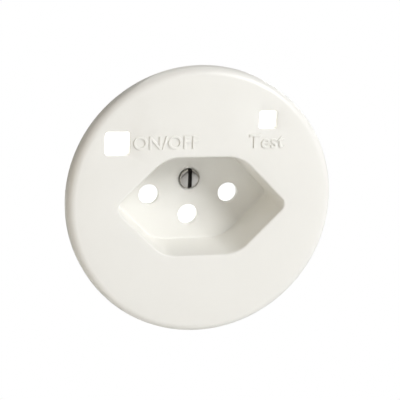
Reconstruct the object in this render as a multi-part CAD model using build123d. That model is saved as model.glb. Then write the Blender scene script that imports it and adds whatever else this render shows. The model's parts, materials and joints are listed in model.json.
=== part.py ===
from build123d import *
import os
from math import degrees

# Swiss T13 socket outlet with a built-in residual-current switch. Millimetres.
# Origin: centre of the wall plane, on the rear face of the support plate.
# X runs to the right, Z up, and the front faces -Y.

# Front cover
DISC_R = 30.5
FACE_Y = -5.2
PLATE_T = 1.8
RIM_WALL = 1.6
SHOULDER_R = 2.0
RECESS_Z = -0.9
HEX_TIP = 19.9
HEX_HALF_H = 11.25
HEX_TIP_R = 2.0
HEX_CORNER_R = 8.0
HEX_DRAFT = 2.0
MOUTH_R = 0.5
FLOOR_Y = 7.6
FLOOR_T = 1.5
CUP_WALL = 1.4

# Plug pins
PIN_X = 9.5
EARTH_DROP = 5.0
PIN_HOLE_R = 2.4

# Fixing plate
PLATE_REAR_Y = 0.0
STEEL_T = 1.2
STEEL_W = 71.0
STEEL_H = 58.0
STEEL_CORNER_R = 6.0
PLATE_CUP_GAP = 0.35
PLATE_WINDOW_GAP = 0.9
BOX_SCREW_X = 30.0
SLOT_R = 1.9
SLOT_LEN = 6.0
PLATE_SCREWS = [(-8.0, 19.5), (8.0, 19.5), (-17.5, -17.5), (17.5, -17.5)]
PLATE_SCREW_R = 1.4
PLATE_SCREW_HEAD = (2.6, 1.3)
PLATE_SCREW_TIP_Y = 6.0

# Housings
BODY_HALF = 25.0
BODY_CHAMFER = 11.0
BODY_WALL = 1.8
DECK_Y = 13.8
JOIN_Y = 15.8
REAR_Y = 36.0
CUP_GAP = 0.25
RIB_T = 1.8
HOUSING_SCREWS = [(-7.4, 21.4), (7.4, 21.4), (-8.6, -21.4), (8.6, -21.4)]
HOUSING_SCREW_R = 1.2
HOUSING_SCREW_HEAD = (1.9, 1.2)
HOUSING_SCREW_SINK = 1.4
HOUSING_SCREW_TIP_Y = 8.6
BOSS_R = 2.4
POCKET_WALL = 1.3
GUIDE_WALL = 1.3

# Centre screw
SCREW_Z = 2.7
SCREW_HEAD_R = 2.35
SCREW_HEAD_T = 1.5
SCREW_SLOT_W = 0.8
SCREW_SINK = 0.6
SCREW_GAP = 0.15
SCREW_SHANK_R = 1.45
INSERT_R = 2.1

# Shutter
SHUTTER_Y = (9.4, 13.6)
SHUTTER_TOP = 2.1
SHUTTER_HALF_W = 12.7
SHUTTER_BAR_Z = (-11.0, -8.6)
CHAMBER_HALF_W = 13.0
CHAMBER_Z = (-17.2, 2.6)
CHAMBER_WALL = 1.4
SHUTTER_RAMP = 5.0
PIT_HALF_W = 2.6
SPRING_PIT_Z = -21.0

# Contacts
SLEEVE_R = 2.7
SLEEVE_BORE_R = 2.05
SLEEVE_END_Y = 26.5
SLEEVE_SEAT = 1.6
SLEEVE_FIT = 0.02
STRIP_Y = (18.05, 18.85)
TIP_END_Y = 20.6
TIP_R = 1.1
CONTACT_Z = 8.0
OUTPUT_X = 6.3
SUPPLY_X = 14.7

# ON/OFF button and its rocker
ON_WINDOW = (-19.6, 13.8)
ON_WINDOW_SIZE = (5.6, 5.3)
ON_CORNER = 0.8
ON_STEM = (-18.6, 13.2)
ON_STEM_W = 4.0
ON_TRAVEL = 2.2
BUTTON_GAP = 0.15
BUTTON_SUNK = 1.5
BUTTON_LIP = 0.6
FLANGE_Y = (-3.2, -2.4)
LEVER_Z = (12.5, 14.0)
ROCKER_X = -10.6
ROCKER_ARM = 8.0
ROCKER_Y = 19.75
LEVER_TIP_R = 1.0
PIN_SHAFT_R = 0.75
SHAFT_GAP = 0.05

# Switching carrier
CARRIER_HALF_W = 4.0
CARRIER_Y = (18.5, 27.8)
CARRIER_Z = (6.0, 17.0)
POST_Z = 9.3
POST_R = 1.4
POST_END_Y = 26.0
BRIDGE_Y = (23.4, 24.2)
WING_Y = 26.2

# Trip relay, tappet and lever
TRIP_X = 12.6
TRIP_Z = 13.25
TRIP_TRAVEL = 1.0
TRIP_PIVOT = (8.9, 18.9)
TRIP_ARM = 3.7
RELAY_Y = (21.6, 33.0)

# Test button
TEST_WINDOW = (14.5, 18.7)
TEST_WINDOW_SIZE = (4.2, 4.1)
TEST_CORNER = 0.6
TEST_STEM = (14.5, 18.0)
TEST_STEM_R = 1.3
TEST_SPRING_BORE_R = 2.3
TEST_SPRING_SEAT_Y = 4.0
LEAF_Y = (17.3, 17.7)

# Summation current transformer
CORE_Z = -15.9
CORE_R = (3.2, 6.2)
CORE_Y = (19.0, 24.6)
WINDING_T = 0.4
LEAD_R = 0.8
LEAD_BEND_R = 1.0

# Terminals and board
TERMINAL_X = 15.5
TERMINAL_Z = -14.0
EARTH_TERMINAL_Z = -17.6
TERMINAL_SIZE = 6.4
TERMINAL_Y = (27.6, 34.2)
EARTH_TERMINAL_Y = (28.3, 34.2)
WIRE_BORE_R = 1.4
CLAMP_SCREW_Y = 31.2
BOARD_Y = (31.4, 33.0)
BOARD_X = 17.4
BOARD_Z = (-9.4, 5.4)


def along_y(y):
    """Sketch plane at depth y: local X is +X, local Y is +Z, and it extrudes towards +Y."""
    return Plane(origin=(0, y, 0), x_dir=(-1, 0, 0), z_dir=(0, 1, 0))


def prism(sketch, y0, y1, taper=0.0):
    """Extrude a sketch drawn in (x, z), from depth y0 to y1."""
    return extrude(along_y(y0) * mirror(sketch, Plane.YZ), y1 - y0, taper=taper)


def box(x0, x1, y0, y1, z0, z1):
    middle = ((x0 + x1) / 2, (y0 + y1) / 2, (z0 + z1) / 2)
    return Pos(*middle) * Box(x1 - x0, y1 - y0, z1 - z0)


def rod(x, z, radius, y0, y1):
    """Cylinder along Y."""
    return Pos(x, (y0 + y1) / 2, z) * Rot(90, 0, 0) * Cylinder(radius, y1 - y0)


def post(x, y, radius, z0, z1):
    """Cylinder along Z."""
    return Pos(x, y, (z0 + z1) / 2) * Cylinder(radius, z1 - z0)


def tube(x, z, outer, inner, y0, y1):
    return rod(x, z, outer, y0, y1) - rod(x, z, inner, y0, y1)


def hexagon(grow=0.0):
    """Plug outline, grown outwards by a wall or a gap."""
    half_h = HEX_HALF_H + grow
    tip = HEX_TIP + grow * 2 ** 0.5
    flat = tip - half_h
    points = [(tip, 0), (flat, half_h), (-flat, half_h), (-tip, 0), (-flat, -half_h), (flat, -half_h)]
    outline = make_face(Polyline(*points, close=True))
    corners = outline.vertices().filter_by(lambda v: abs(v.Y) > 1)
    outline = fillet(corners, HEX_CORNER_R + grow)
    tips = outline.vertices().filter_by(lambda v: abs(v.Y) < 1)
    return Pos(0, RECESS_Z) * fillet(tips, HEX_TIP_R + grow)


def octagon(inset=0.0):
    half = BODY_HALF - inset
    cut = BODY_CHAMFER - inset * (2 - 2 ** 0.5)
    square = Rectangle(2 * half, 2 * half)
    return chamfer(square.vertices(), cut)


def window(centre, size, corner):
    return Pos(*centre) * RectangleRounded(size[0], size[1], corner)


def grown(size, gap):
    return (size[0] + 2 * gap, size[1] + 2 * gap)


def coil(start, direction, length, radius, wire_r, turns):
    """Compression spring from start along direction."""
    path = Helix(length / turns, length, radius, center=start, direction=direction)
    section = Plane(origin=path @ 0, z_dir=path % 0) * Circle(wire_r)
    return sweep(section, path=path, is_frenet=True)


def wire(points, radius, bend):
    path = FilletPolyline(*points, radius=bend)
    section = Plane(origin=path @ 0, z_dir=path % 0) * Circle(radius)
    return sweep(section, path=path)


def pin_centres():
    return [(-PIN_X, RECESS_Z), (PIN_X, RECESS_Z), (0, RECESS_Z - EARTH_DROP)]


# ---------------------------------------------------------------- housings


def front_cover():
    rim_y = -STEEL_T
    disc = rod(0, 0, DISC_R, FACE_Y, rim_y)
    disc = fillet(disc.edges().sort_by(Axis.Y)[0], SHOULDER_R)
    hollow = rod(0, 0, DISC_R - RIM_WALL, FACE_Y + PLATE_T, rim_y)
    cup = prism(hexagon(CUP_WALL), FACE_Y + PLATE_T, FLOOR_Y + FLOOR_T)
    recess = prism(hexagon(), FACE_Y, FLOOR_Y, taper=HEX_DRAFT)
    cover = disc - hollow + cup - recess
    mouth = cover.edges().filter_by_position(Axis.Y, FACE_Y - 0.01, FACE_Y + 0.01)
    mouth = mouth.filter_by(lambda e: (e @ 0.5).length < HEX_TIP + 5)
    cover = fillet(mouth, MOUTH_R)
    cover -= prism(window(ON_WINDOW, ON_WINDOW_SIZE, ON_CORNER), FACE_Y, FACE_Y + PLATE_T)
    cover -= prism(window(TEST_WINDOW, TEST_WINDOW_SIZE, TEST_CORNER), FACE_Y, FACE_Y + PLATE_T)
    for x, z in pin_centres():
        cover -= rod(x, z, PIN_HOLE_R, FLOOR_Y, FLOOR_Y + FLOOR_T)
    cover -= rod(0, SCREW_Z, SCREW_SHANK_R + SCREW_GAP, FLOOR_Y, FLOOR_Y + FLOOR_T)
    cover -= rod(0, SCREW_Z, SCREW_HEAD_R + SCREW_GAP, FLOOR_Y, FLOOR_Y + SCREW_SINK)
    return cover


def support_plate():
    plate = prism(RectangleRounded(STEEL_W, STEEL_H, STEEL_CORNER_R), -STEEL_T, PLATE_REAR_Y)
    plate -= prism(hexagon(CUP_WALL + PLATE_CUP_GAP), -STEEL_T, PLATE_REAR_Y)
    for centre, size in ((ON_WINDOW, ON_WINDOW_SIZE), (TEST_WINDOW, TEST_WINDOW_SIZE)):
        plate -= prism(window(centre, grown(size, PLATE_WINDOW_GAP), ON_CORNER), -STEEL_T, PLATE_REAR_Y)
    for side in (-1, 1):
        slot = Pos(side * BOX_SCREW_X, 0) * SlotOverall(SLOT_LEN, 2 * SLOT_R)
        plate -= prism(slot, -STEEL_T, PLATE_REAR_Y)
    for x, z in PLATE_SCREWS:
        plate -= rod(x, z, PLATE_SCREW_R + 0.2, -STEEL_T, PLATE_REAR_Y)
    return plate


def pan_screw(x, z, head_y, tip_y, head, shank_r):
    """Slotted screw; the head lies on the side of head_y away from the tip."""
    head_r, head_t = head
    inward = 1 if tip_y > head_y else -1
    top_y = head_y - inward * head_t
    screw = rod(x, z, head_r, *sorted((top_y, head_y)))
    rim = screw.edges().group_by(Axis.Y)[0 if inward > 0 else -1]
    screw = fillet(rim, head_t / 4)
    screw += rod(x, z, shank_r, *sorted((head_y, tip_y)))
    slot_end = top_y + inward * head_t * 0.55
    half = SCREW_SLOT_W / 2
    return screw - box(x - half, x + half, *sorted((top_y, slot_end)), z - head_r, z + head_r)


def cover_screw():
    head = (SCREW_HEAD_R, SCREW_HEAD_T)
    return pan_screw(0, SCREW_Z, FLOOR_Y + SCREW_SINK, JOIN_Y - 0.4, head, SCREW_SHANK_R)


def screw_insert():
    return tube(0, SCREW_Z, INSERT_R, SCREW_SHANK_R + SHAFT_GAP, FLOOR_Y + 2.4, JOIN_Y - 0.2)


def plate_screws():
    return Compound([pan_screw(x, z, -STEEL_T, PLATE_SCREW_TIP_Y, PLATE_SCREW_HEAD, PLATE_SCREW_R)
                     for x, z in PLATE_SCREWS])


def front_shell():
    """Outer wall, cup pocket and shutter chamber before their openings."""
    shell = prism(octagon(), PLATE_REAR_Y, DECK_Y) - prism(octagon(BODY_WALL), PLATE_REAR_Y, DECK_Y)
    shell += prism(hexagon(CUP_WALL + CUP_GAP + POCKET_WALL), PLATE_REAR_Y, DECK_Y)
    front_y = SHUTTER_Y[0] - CHAMBER_WALL
    side_x = CHAMBER_HALF_W + CHAMBER_WALL
    shell += box(-side_x, side_x, front_y, DECK_Y, CHAMBER_Z[0] - CHAMBER_WALL, CHAMBER_Z[1] + CHAMBER_WALL)
    pit_x = PIT_HALF_W + CHAMBER_WALL
    shell += box(-pit_x, pit_x, front_y, DECK_Y, -BODY_HALF + 1, CHAMBER_Z[0])
    shell += box(-RIB_T / 2, RIB_T / 2, PLATE_REAR_Y, DECK_Y, HEX_HALF_H, BODY_HALF - 1)
    for side in (-1, 1):
        shell += box(*sorted((side * HEX_TIP, side * (BODY_HALF - 1))), PLATE_REAR_Y, DECK_Y,
                     RECESS_Z - RIB_T / 2, RECESS_Z + RIB_T / 2)
    guide_w = ON_STEM_W + 2 * GUIDE_WALL
    shell += prism(Pos(*ON_STEM) * Rectangle(guide_w, guide_w), PLATE_REAR_Y, DECK_Y)
    shell += rod(*TEST_STEM, TEST_SPRING_BORE_R + 1.1, PLATE_REAR_Y, DECK_Y)
    for x, z in PLATE_SCREWS + HOUSING_SCREWS:
        shell += rod(x, z, BOSS_R, PLATE_REAR_Y, DECK_Y)
    return shell


def lever_bracket(x, y):
    """Two cheeks that carry a lever's pin above and below it."""
    cheeks = box(x - 1.6, x + 1.6, JOIN_Y - 0.5, y + 1.5, LEVER_Z[0] - 2.0, LEVER_Z[0] - 0.3)
    cheeks += box(x - 1.6, x + 1.6, JOIN_Y - 0.5, y + 1.5, LEVER_Z[1] + 0.3, LEVER_Z[1] + 2.0)
    return cheeks - post(x, y, PIN_SHAFT_R, LEVER_Z[0] - 2.0, LEVER_Z[1] + 2.0)


def stem_holes():
    """Guides of the two buttons and the thread sleeve's seat, through the shell and the base."""
    stem = Pos(*ON_STEM) * Rectangle(ON_STEM_W + 0.2, ON_STEM_W + 0.2)
    holes = prism(stem, PLATE_REAR_Y, JOIN_Y)
    holes += rod(*TEST_STEM, TEST_STEM_R + SHAFT_GAP, PLATE_REAR_Y, JOIN_Y)
    holes += rod(0, SCREW_Z, INSERT_R, FLOOR_Y + FLOOR_T, JOIN_Y)
    for x, z in HOUSING_SCREWS:
        holes += rod(x, z, HOUSING_SCREW_R + SHAFT_GAP, HOUSING_SCREW_TIP_Y - 0.2, JOIN_Y)
    return holes


def front_housing():
    body = front_shell()
    body -= prism(hexagon(CUP_WALL + CUP_GAP), PLATE_REAR_Y, SHUTTER_Y[0] - 0.05)
    body -= box(-CHAMBER_HALF_W, CHAMBER_HALF_W, SHUTTER_Y[0] - 0.1, DECK_Y, *CHAMBER_Z)
    body -= box(-PIT_HALF_W, PIT_HALF_W, SHUTTER_Y[0] - 0.1, DECK_Y, SPRING_PIT_Z, CHAMBER_Z[0] + 0.2)
    body += rod(0, SCREW_Z, INSERT_R + 0.9, FLOOR_Y + FLOOR_T, DECK_Y)
    body -= rod(*TEST_STEM, TEST_SPRING_BORE_R, PLATE_REAR_Y, TEST_SPRING_SEAT_Y)
    for x, z in PLATE_SCREWS:
        body -= rod(x, z, PLATE_SCREW_R, PLATE_REAR_Y, PLATE_SCREW_TIP_Y + 0.2)
    return body - stem_holes()


def contact_base():
    """Insulating deck behind the shutter: seats of the contacts, lever brackets and the carrier's post."""
    base = prism(octagon(), DECK_Y, JOIN_Y) - stem_holes()
    for x, z in pin_centres():
        base += rod(x, z, SLEEVE_R + 0.9, DECK_Y, JOIN_Y + SLEEVE_SEAT)
    for x, z in pin_centres():
        base -= rod(x, z, PIN_HOLE_R, DECK_Y, JOIN_Y)
        base -= rod(x, z, SLEEVE_R + SLEEVE_FIT, JOIN_Y, JOIN_Y + SLEEVE_SEAT)
    base += rod(0, POST_Z, POST_R, JOIN_Y - 0.5, POST_END_Y)
    base += lever_bracket(ROCKER_X, ROCKER_Y) + lever_bracket(*TRIP_PIVOT)
    for side in (-1, 1):
        outer = sorted((side * 13.2, side * 16.6))
        inner = sorted((side * 5.0, side * 8.4))
        base += box(*outer, JOIN_Y - 0.5, STRIP_Y[0], 8.9, 10.1)
        base += box(*inner, JOIN_Y - 0.5, STRIP_Y[0], 7.0, 9.4)
    return base + box(1.4, 4.6, JOIN_Y - 0.5, LEAF_Y[0] - SHAFT_GAP, 17.0, 19.0)


def rear_housing():
    body = prism(octagon(), JOIN_Y, REAR_Y) - prism(octagon(BODY_WALL), JOIN_Y, REAR_Y - BODY_WALL)
    for x, z in HOUSING_SCREWS:
        body += rod(x, z, BOSS_R - 0.2, JOIN_Y, REAR_Y)
        body -= rod(x, z, HOUSING_SCREW_R + SHAFT_GAP, JOIN_Y, REAR_Y)
        body -= rod(x, z, HOUSING_SCREW_HEAD[0] + 0.1, REAR_Y - HOUSING_SCREW_SINK, REAR_Y)
    for x in (-BOARD_X + 2.5, BOARD_X - 2.5):
        for z in (BOARD_Z[0] + 2, BOARD_Z[1] - 2):
            body += rod(x, z, 1.5, BOARD_Y[1], REAR_Y - BODY_WALL)
    body += box(TRIP_X - 3.4, TRIP_X + 3.4, RELAY_Y[1], REAR_Y - BODY_WALL, TRIP_Z - 2.2, TRIP_Z + 2.2)
    for x, z in terminal_places():
        body -= rod(x, z, WIRE_BORE_R + 0.4, REAR_Y - BODY_WALL, REAR_Y)
        body -= post(x, CLAMP_SCREW_Y, 2.4, -BODY_HALF, z - TERMINAL_SIZE / 2)
    return body


def housing_screws():
    seat_y = REAR_Y - HOUSING_SCREW_SINK
    return Compound([pan_screw(x, z, seat_y, HOUSING_SCREW_TIP_Y, HOUSING_SCREW_HEAD, HOUSING_SCREW_R)
                     for x, z in HOUSING_SCREWS])


# ---------------------------------------------------------------- shutter


def shutter():
    y0, y1 = SHUTTER_Y

    def leg(x0, x1, top):
        bottom = SHUTTER_BAR_Z[0]
        outline = Polyline((y0, bottom), (y1, bottom), (y1, top), (y0, top - SHUTTER_RAMP), close=True)
        face = Plane(origin=(x0, 0, 0), x_dir=(0, 1, 0), z_dir=(1, 0, 0)) * make_face(outline)
        return extrude(face, x1 - x0)

    body = box(-SHUTTER_HALF_W, SHUTTER_HALF_W, y0, y1, *SHUTTER_BAR_Z)
    body += leg(-3.2, 3.2, SHUTTER_TOP - 5.2)
    for side in (-1, 1):
        body += leg(*sorted((side * 6.3, side * SHUTTER_HALF_W)), SHUTTER_TOP)
    return body


def shutter_spring():
    middle = (SHUTTER_Y[0] + SHUTTER_Y[1]) / 2
    free = SHUTTER_BAR_Z[0] - SPRING_PIT_Z
    return coil((0, middle, SPRING_PIT_Z + 0.25), (0, 0, 1), free - 0.5, 1.5, 0.22, 7)


# ---------------------------------------------------------------- contacts


def sleeve(x, z):
    slit = box(x - 0.25, x + 0.25, JOIN_Y + 2.5, SLEEVE_END_Y, z - SLEEVE_R - 1, z)
    return rod(x, z, SLEEVE_R, JOIN_Y + SLEEVE_FIT, SLEEVE_END_Y) - slit


def sleeve_bore(x, z):
    return rod(x, z, SLEEVE_BORE_R, JOIN_Y, SLEEVE_END_Y + 1)


def output_contact(side):
    x = side * PIN_X
    strip = box(*sorted((side * 5.0, side * 9.2)), *STRIP_Y, RECESS_Z + 1, 9.4)
    tip = rod(side * OUTPUT_X, CONTACT_Z, TIP_R, STRIP_Y[0], TIP_END_Y)
    return sleeve(x, RECESS_Z) + strip + tip - sleeve_bore(x, RECESS_Z)


def supply_contact(side):
    strip = box(*sorted((side * 13.2, side * 16.6)), *STRIP_Y, 3.0, 10.1)
    return strip + rod(side * SUPPLY_X, CONTACT_Z, TIP_R, STRIP_Y[0], TIP_END_Y)


def earth_contact():
    z = RECESS_Z - EARTH_DROP
    under = z - SLEEVE_R
    strap = box(-1.5, 1.5, SLEEVE_END_Y - 4, 29.8, under, under + 0.8)
    strap += box(-1.5, 1.5, 29.0, 29.8, EARTH_TERMINAL_Z + TERMINAL_SIZE / 2, under + 0.8)
    return sleeve(0, z) + strap - sleeve_bore(0, z)


def moving_contact(side):
    bridge = box(*sorted((side * 5.2, side * 15.8)), *BRIDGE_Y, CONTACT_Z - 1.4, CONTACT_Z + 1.4)
    for x in (OUTPUT_X, SUPPLY_X):
        bridge += rod(side * x, CONTACT_Z, TIP_R, BRIDGE_Y[0] - 0.5, BRIDGE_Y[1])
    return bridge


def contact_spring(side):
    start = (side * (OUTPUT_X + SUPPLY_X) / 2, BRIDGE_Y[1] + 0.18, CONTACT_Z)
    return coil(start, (0, 1, 0), WING_Y - BRIDGE_Y[1] - 0.36, 1.1, 0.17, 3)


# ---------------------------------------------------------------- switching


def button(centre, size, stem):
    face = window(centre, grown(size, -BUTTON_GAP), 0.5)
    cap = prism(face, FACE_Y + BUTTON_SUNK, FLANGE_Y[0])
    cap = fillet(cap.edges().group_by(Axis.Y)[0], 0.25)
    return cap + prism(window(centre, grown(size, BUTTON_LIP), 0.8), *FLANGE_Y) + stem


def on_off_button():
    stem = prism(Pos(*ON_STEM) * Rectangle(ON_STEM_W, ON_STEM_W), FLANGE_Y[0], 17.5)
    return button(ON_WINDOW, ON_WINDOW_SIZE, stem)


def test_button():
    return button(TEST_WINDOW, TEST_WINDOW_SIZE, rod(*TEST_STEM, TEST_STEM_R, FLANGE_Y[0], 17.15))


def lever(x, y, arm, angle, tip_r, bar_half):
    bar = Rectangle(2 * arm, 2 * bar_half)
    bar += Circle(1.8)
    for side in (-1, 1):
        bar += Pos(side * arm, 0) * Circle(tip_r)
    bar -= Circle(PIN_SHAFT_R + SHAFT_GAP)
    return extrude(Pos(x, y, LEVER_Z[0]) * Rot(0, 0, angle) * bar, LEVER_Z[1] - LEVER_Z[0])


def half_swing(travel, arm):
    """Angle in degrees that a lever tip turns for half of its travel."""
    return degrees(travel / 2 / arm)


def rocker_lever():
    return lever(ROCKER_X, ROCKER_Y, ROCKER_ARM, half_swing(ON_TRAVEL, ROCKER_ARM), LEVER_TIP_R, 0.7)


def trip_lever():
    return lever(*TRIP_PIVOT, TRIP_ARM, half_swing(TRIP_TRAVEL, TRIP_ARM), 0.8, 0.6)


def lever_pin(x, y):
    return post(x, y, PIN_SHAFT_R, LEVER_Z[0] - 1.9, LEVER_Z[1] + 1.9)


def contact_carrier():
    body = box(-CARRIER_HALF_W, CARRIER_HALF_W, *CARRIER_Y, *CARRIER_Z)
    body += box(-14, 14, WING_Y, CARRIER_Y[1], CONTACT_Z - 1.7, CONTACT_Z + 1.7)
    for side in (-1, 1):
        x = side * (OUTPUT_X + SUPPLY_X) / 2
        body += rod(x, CONTACT_Z, 0.7, BRIDGE_Y[1], WING_Y + 0.5)
    body += box(CARRIER_HALF_W - 1, 6.2, 22.65, 24.65, LEVER_Z[0] - 0.5, LEVER_Z[1] + 0.5)
    tip_y = ROCKER_Y + ON_TRAVEL / 2
    gap = LEVER_TIP_R + 0.15
    body -= box(-CARRIER_HALF_W, -1.3, tip_y - gap, tip_y + gap, LEVER_Z[0] - 0.3, LEVER_Z[1] + 0.3)
    body -= rod(0, POST_Z, POST_R + SHAFT_GAP, *CARRIER_Y)
    body -= rod(0, POST_Z, 2.3, CARRIER_Y[0], CARRIER_Y[0] + 3.5)
    return body


def opening_spring():
    return coil((0, JOIN_Y + 0.27, POST_Z), (0, 1, 0), CARRIER_Y[0] + 3.5 - JOIN_Y - 0.54, 1.85, 0.22, 5)


def test_spring():
    start = (TEST_STEM[0], FLANGE_Y[1] + 0.25, TEST_STEM[1])
    return coil(start, (0, 1, 0), TEST_SPRING_SEAT_Y - FLANGE_Y[1] - 0.5, 1.8, 0.2, 6)


def trip_relay():
    body = box(TRIP_X - 4.2, TRIP_X + 4.2, *RELAY_Y, 10.2, 16.3)
    body = fillet(body.edges().filter_by(Axis.Y), 0.6)
    return body - rod(TRIP_X, TRIP_Z, 0.8 + SHAFT_GAP, RELAY_Y[0], RELAY_Y[0] + 3)


def trip_plunger():
    tip_y = TRIP_PIVOT[1] + TRIP_TRAVEL / 2 + 0.8 + 0.2
    return rod(TRIP_X, TRIP_Z, 1.2, tip_y, tip_y + 0.7) + rod(TRIP_X, TRIP_Z, 0.8, tip_y, RELAY_Y[0] + 2.5)


def test_leaf():
    leaf = box(1.6, 16.2, *LEAF_Y, 17.1, 18.9)
    return leaf + rod(14.5, 18.0, 0.7, LEAF_Y[1] - 0.2, LEAF_Y[1] + 0.3)


def test_resistor():
    body = Pos(11.5, 21.2, 18.0) * Rot(0, 90, 0) * Cylinder(1.1, 6.0)
    lead = wire([(7.0, 21.2, 18.0), (16.2, 21.2, 18.0), (16.2, 19.9, 18.0), (13.4, 19.9, 18.0)], 0.3, 0.5)
    return body + lead


# ---------------------------------------------------------------- transformer and wires


def transformer_core():
    return tube(0, CORE_Z, CORE_R[1], CORE_R[0], *CORE_Y)


def secondary_winding():
    """Wound sector that wraps the upper right part of the core."""
    ring = tube(0, CORE_Z, CORE_R[1] + WINDING_T, CORE_R[0] - WINDING_T,
                CORE_Y[0] - WINDING_T, CORE_Y[1] + WINDING_T)
    ring -= transformer_core()
    return ring - box(-8, 8, CORE_Y[0] - 1, CORE_Y[1] + 1, CORE_Z - 8, CORE_Z - 1.5)


def lead(side):
    front_y = STRIP_Y[0] - LEAD_R
    rear_y = CORE_Y[1] + WINDING_T + LEAD_R + 0.5
    z = CORE_Z + 0.3
    points = [(side * TERMINAL_X, TERMINAL_Y[0] + 1.0, z), (side * TERMINAL_X, rear_y, z),
              (side * 1.3, rear_y, z), (side * 1.3, front_y, z),
              (side * 15.0, front_y, z), (side * 15.0, front_y, 8.7)]
    return wire(points, LEAD_R, LEAD_BEND_R)


def winding_wires():
    """Pair of thin wires from the winding to the board, which cross over above the core."""
    start_y = CORE_Y[1] + WINDING_T
    pair = []
    for k in (0, 1):
        x, turn_y, low_z = 3.6 + 1.4 * k, 28.4 + 0.9 * k, CORE_Z + 3.4
        points = [(x, start_y, low_z), (x, turn_y, low_z), (x, turn_y, -7.5), (x, BOARD_Y[0], -7.5)]
        pair.append(wire(points, 0.3, 0.6))
    return Compound(pair)


def relay_wires():
    """Pair of thin wires from the relay's underside to the board."""
    pair = []
    for x in (TRIP_X - 2.5, TRIP_X - 0.9):
        points = [(x, BOARD_Y[0] - 1.4, 10.2), (x, BOARD_Y[0] - 1.4, 3.6), (x, BOARD_Y[0], 3.6)]
        pair.append(wire(points, 0.3, 0.6))
    return Compound(pair)


# ---------------------------------------------------------------- terminals and board


def terminal_places():
    return [(-TERMINAL_X, TERMINAL_Z), (TERMINAL_X, TERMINAL_Z), (0, EARTH_TERMINAL_Z)]


def terminal(x, z, y0, y1):
    half = TERMINAL_SIZE / 2
    block = box(x - half, x + half, y0, y1, z - half, z + half)
    block = chamfer(block.edges().filter_by(Axis.Y), 0.4)
    block -= rod(x, z, WIRE_BORE_R, y0 + 1.6, y1)
    return block - post(x, CLAMP_SCREW_Y, 1.2, z - half, z)


def pole_terminal(side):
    block = terminal(side * TERMINAL_X, TERMINAL_Z, *TERMINAL_Y)
    return block - rod(side * TERMINAL_X, CORE_Z + 0.3, LEAD_R + 0.05, TERMINAL_Y[0], TERMINAL_Y[0] + 1.6)


def clamp_screw(x, z):
    bottom = z - TERMINAL_SIZE / 2
    screw = post(x, CLAMP_SCREW_Y, 1.15, bottom - 0.6, z - WIRE_BORE_R - 0.05)
    screw += post(x, CLAMP_SCREW_Y, 2.1, bottom - 1.6, bottom - 0.1)
    return screw - box(x - 0.35, x + 0.35, CLAMP_SCREW_Y - 3, CLAMP_SCREW_Y + 3, bottom - 1.6, bottom - 0.8)


def terminal_screws():
    return Compound([clamp_screw(x, z) for x, z in terminal_places()])


def circuit_board():
    board = box(-BOARD_X, BOARD_X, *BOARD_Y, *BOARD_Z)
    return chamfer(board.edges().filter_by(Axis.Y), 1.0)


def sense_chip():
    body = box(-9.5, -3.5, BOARD_Y[0] - 1.6, BOARD_Y[0] - 0.3, -3.0, 1.0)
    for k in range(4):
        x = -8.75 + 1.5 * k
        body += box(x - 0.25, x + 0.25, BOARD_Y[0] - 0.6, BOARD_Y[0], -3.9, 1.9)
    return body


def filter_capacitor():
    can = rod(7.5, -0.5, 2.4, BOARD_Y[0] - 3.2, BOARD_Y[0])
    return fillet(can.edges().group_by(Axis.Y)[0], 0.4)


def board_resistors():
    places = [(-14.0, y) for y in (-5.5, -2.0, 1.5)]
    return Compound([box(x - 1.6, x + 1.6, BOARD_Y[0] - 0.9, BOARD_Y[0], z - 0.8, z + 0.8) for x, z in places])


NODES = {
    "front_cover": front_cover(),
    "support_plate": support_plate(),
    "plate_screws": plate_screws(),
    "cover_screw": cover_screw(),
    "screw_insert": screw_insert(),
    "front_housing": front_housing(),
    "contact_base": contact_base(),
    "rear_housing": rear_housing(),
    "housing_screws": housing_screws(),
    "shutter": shutter(),
    "shutter_spring": shutter_spring(),
    "live_contact": output_contact(-1),
    "neutral_contact": output_contact(1),
    "earth_contact": earth_contact(),
    "supply_contact_live": supply_contact(-1),
    "supply_contact_neutral": supply_contact(1),
    "moving_contact_live": moving_contact(-1),
    "moving_contact_neutral": moving_contact(1),
    "contact_spring_live": contact_spring(-1),
    "contact_spring_neutral": contact_spring(1),
    "contact_carrier": contact_carrier(),
    "opening_spring": opening_spring(),
    "on_off_button": on_off_button(),
    "rocker_lever": rocker_lever(),
    "rocker_pin": lever_pin(ROCKER_X, ROCKER_Y),
    "trip_relay": trip_relay(),
    "trip_plunger": trip_plunger(),
    "trip_lever": trip_lever(),
    "trip_pin": lever_pin(*TRIP_PIVOT),
    "test_button": test_button(),
    "test_spring": test_spring(),
    "test_leaf": test_leaf(),
    "test_resistor": test_resistor(),
    "transformer_core": transformer_core(),
    "secondary_winding": secondary_winding(),
    "live_lead": lead(-1),
    "neutral_lead": lead(1),
    "live_terminal": pole_terminal(-1),
    "neutral_terminal": pole_terminal(1),
    "earth_terminal": terminal(0, EARTH_TERMINAL_Z, *EARTH_TERMINAL_Y),
    "terminal_screws": terminal_screws(),
    "circuit_board": circuit_board(),
    "sense_chip": sense_chip(),
    "filter_capacitor": filter_capacitor(),
    "board_resistors": board_resistors(),
    "winding_wires": winding_wires(),
    "relay_wires": relay_wires(),
}

os.makedirs("parts", exist_ok=True)
for name, solid in NODES.items():
    export_step(solid, f"parts/{name}.step")
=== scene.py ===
"""Looks of a round three-pin safety socket outlet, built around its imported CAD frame.

Metres. X runs to the right, Z up, and the front of the outlet faces -Y.
"""

import json
from math import cos, pi, radians, sin, sqrt, tan

import bmesh
import bpy
from mathutils import Matrix, Vector


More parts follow.
